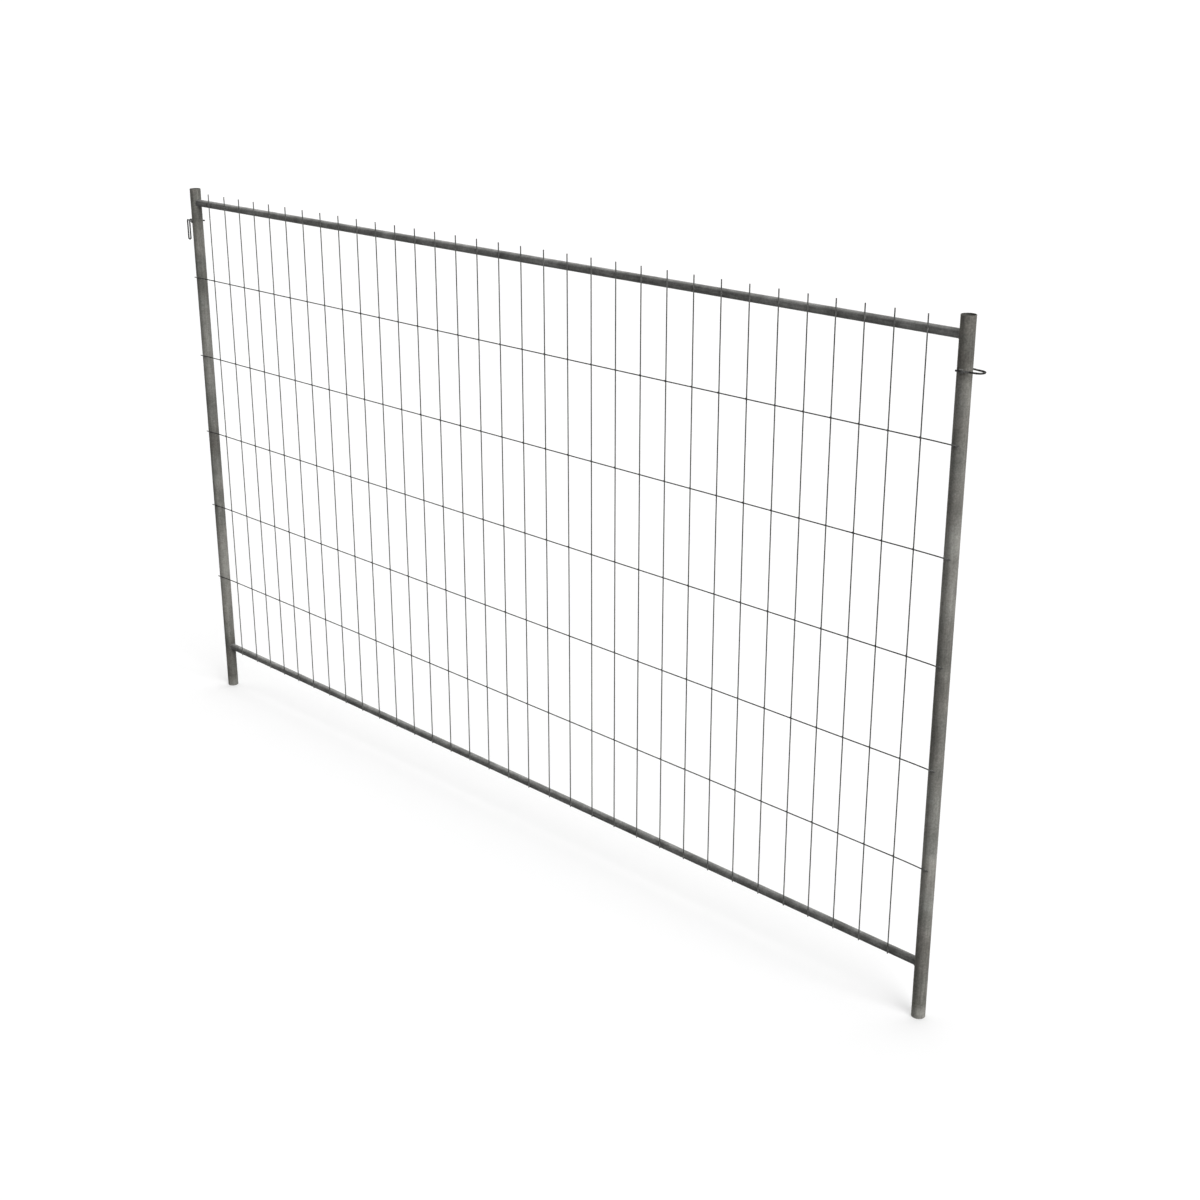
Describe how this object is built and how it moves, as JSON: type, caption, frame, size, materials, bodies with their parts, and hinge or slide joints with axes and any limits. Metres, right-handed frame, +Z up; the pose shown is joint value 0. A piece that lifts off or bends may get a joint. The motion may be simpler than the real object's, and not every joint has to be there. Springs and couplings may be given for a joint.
{
  "type": "temporary fence panel",
  "caption": "Welded steel temporary fence panel: tube posts and rails with a wire mesh on the front, and a drop hook and an eye that link it to the next panel.",
  "frame": {"origin": "on the ground, midway between the axes of the two posts, between the post feet", "axes": "+X along the panel from the hook end to the eye end, -Y the mesh side, +Z up"},
  "size_m": [3.533, 0.0568, 2],
  "materials": {
    "galvanised_tube": "weathered hot-dip galvanised tube, dull and mottled",
    "galvanised_wire": "weathered galvanised wire, dull",
    "galvanised_link": "galvanised bent wire, satin where it rubs",
    "weld_bead": "rippled weld bead under zinc, dull"
  },
  "bodies": {
    "root": {"left_post": "galvanised_tube", "right_post": "galvanised_tube", "top_rail": "galvanised_tube", "bottom_rail": "galvanised_tube", "horizontal_wire_1": "galvanised_wire", "horizontal_wire_2": "galvanised_wire", "horizontal_wire_3": "galvanised_wire", "horizontal_wire_4": "galvanised_wire", "horizontal_wire_5": "galvanised_wire", "vertical_wire_01": "galvanised_wire", "vertical_wire_02": "galvanised_wire", "vertical_wire_03": "galvanised_wire", "vertical_wire_04": "galvanised_wire", "vertical_wire_05": "galvanised_wire", "vertical_wire_06": "galvanised_wire", "vertical_wire_07": "galvanised_wire", "vertical_wire_08": "galvanised_wire", "vertical_wire_09": "galvanised_wire", "vertical_wire_10": "galvanised_wire", "vertical_wire_11": "galvanised_wire", "vertical_wire_12": "galvanised_wire", "vertical_wire_13": "galvanised_wire", "vertical_wire_14": "galvanised_wire", "vertical_wire_15": "galvanised_wire", "vertical_wire_16": "galvanised_wire", "vertical_wire_17": "galvanised_wire", "vertical_wire_18": "galvanised_wire", "vertical_wire_19": "galvanised_wire", "vertical_wire_20": "galvanised_wire", "vertical_wire_21": "galvanised_wire", "vertical_wire_22": "galvanised_wire", "vertical_wire_23": "galvanised_wire", "vertical_wire_24": "galvanised_wire", "vertical_wire_25": "galvanised_wire", "vertical_wire_26": "galvanised_wire", "vertical_wire_27": "galvanised_wire", "vertical_wire_28": "galvanised_wire", "vertical_wire_29": "galvanised_wire", "vertical_wire_30": "galvanised_wire", "vertical_wire_31": "galvanised_wire", "vertical_wire_32": "galvanised_wire", "vertical_wire_33": "galvanised_wire", "hook": "galvanised_link", "eye": "galvanised_link", "rail_welds": "weld_bead", "hook_welds": "weld_bead", "eye_welds": "weld_bead"}
  },
  "joints": []
}
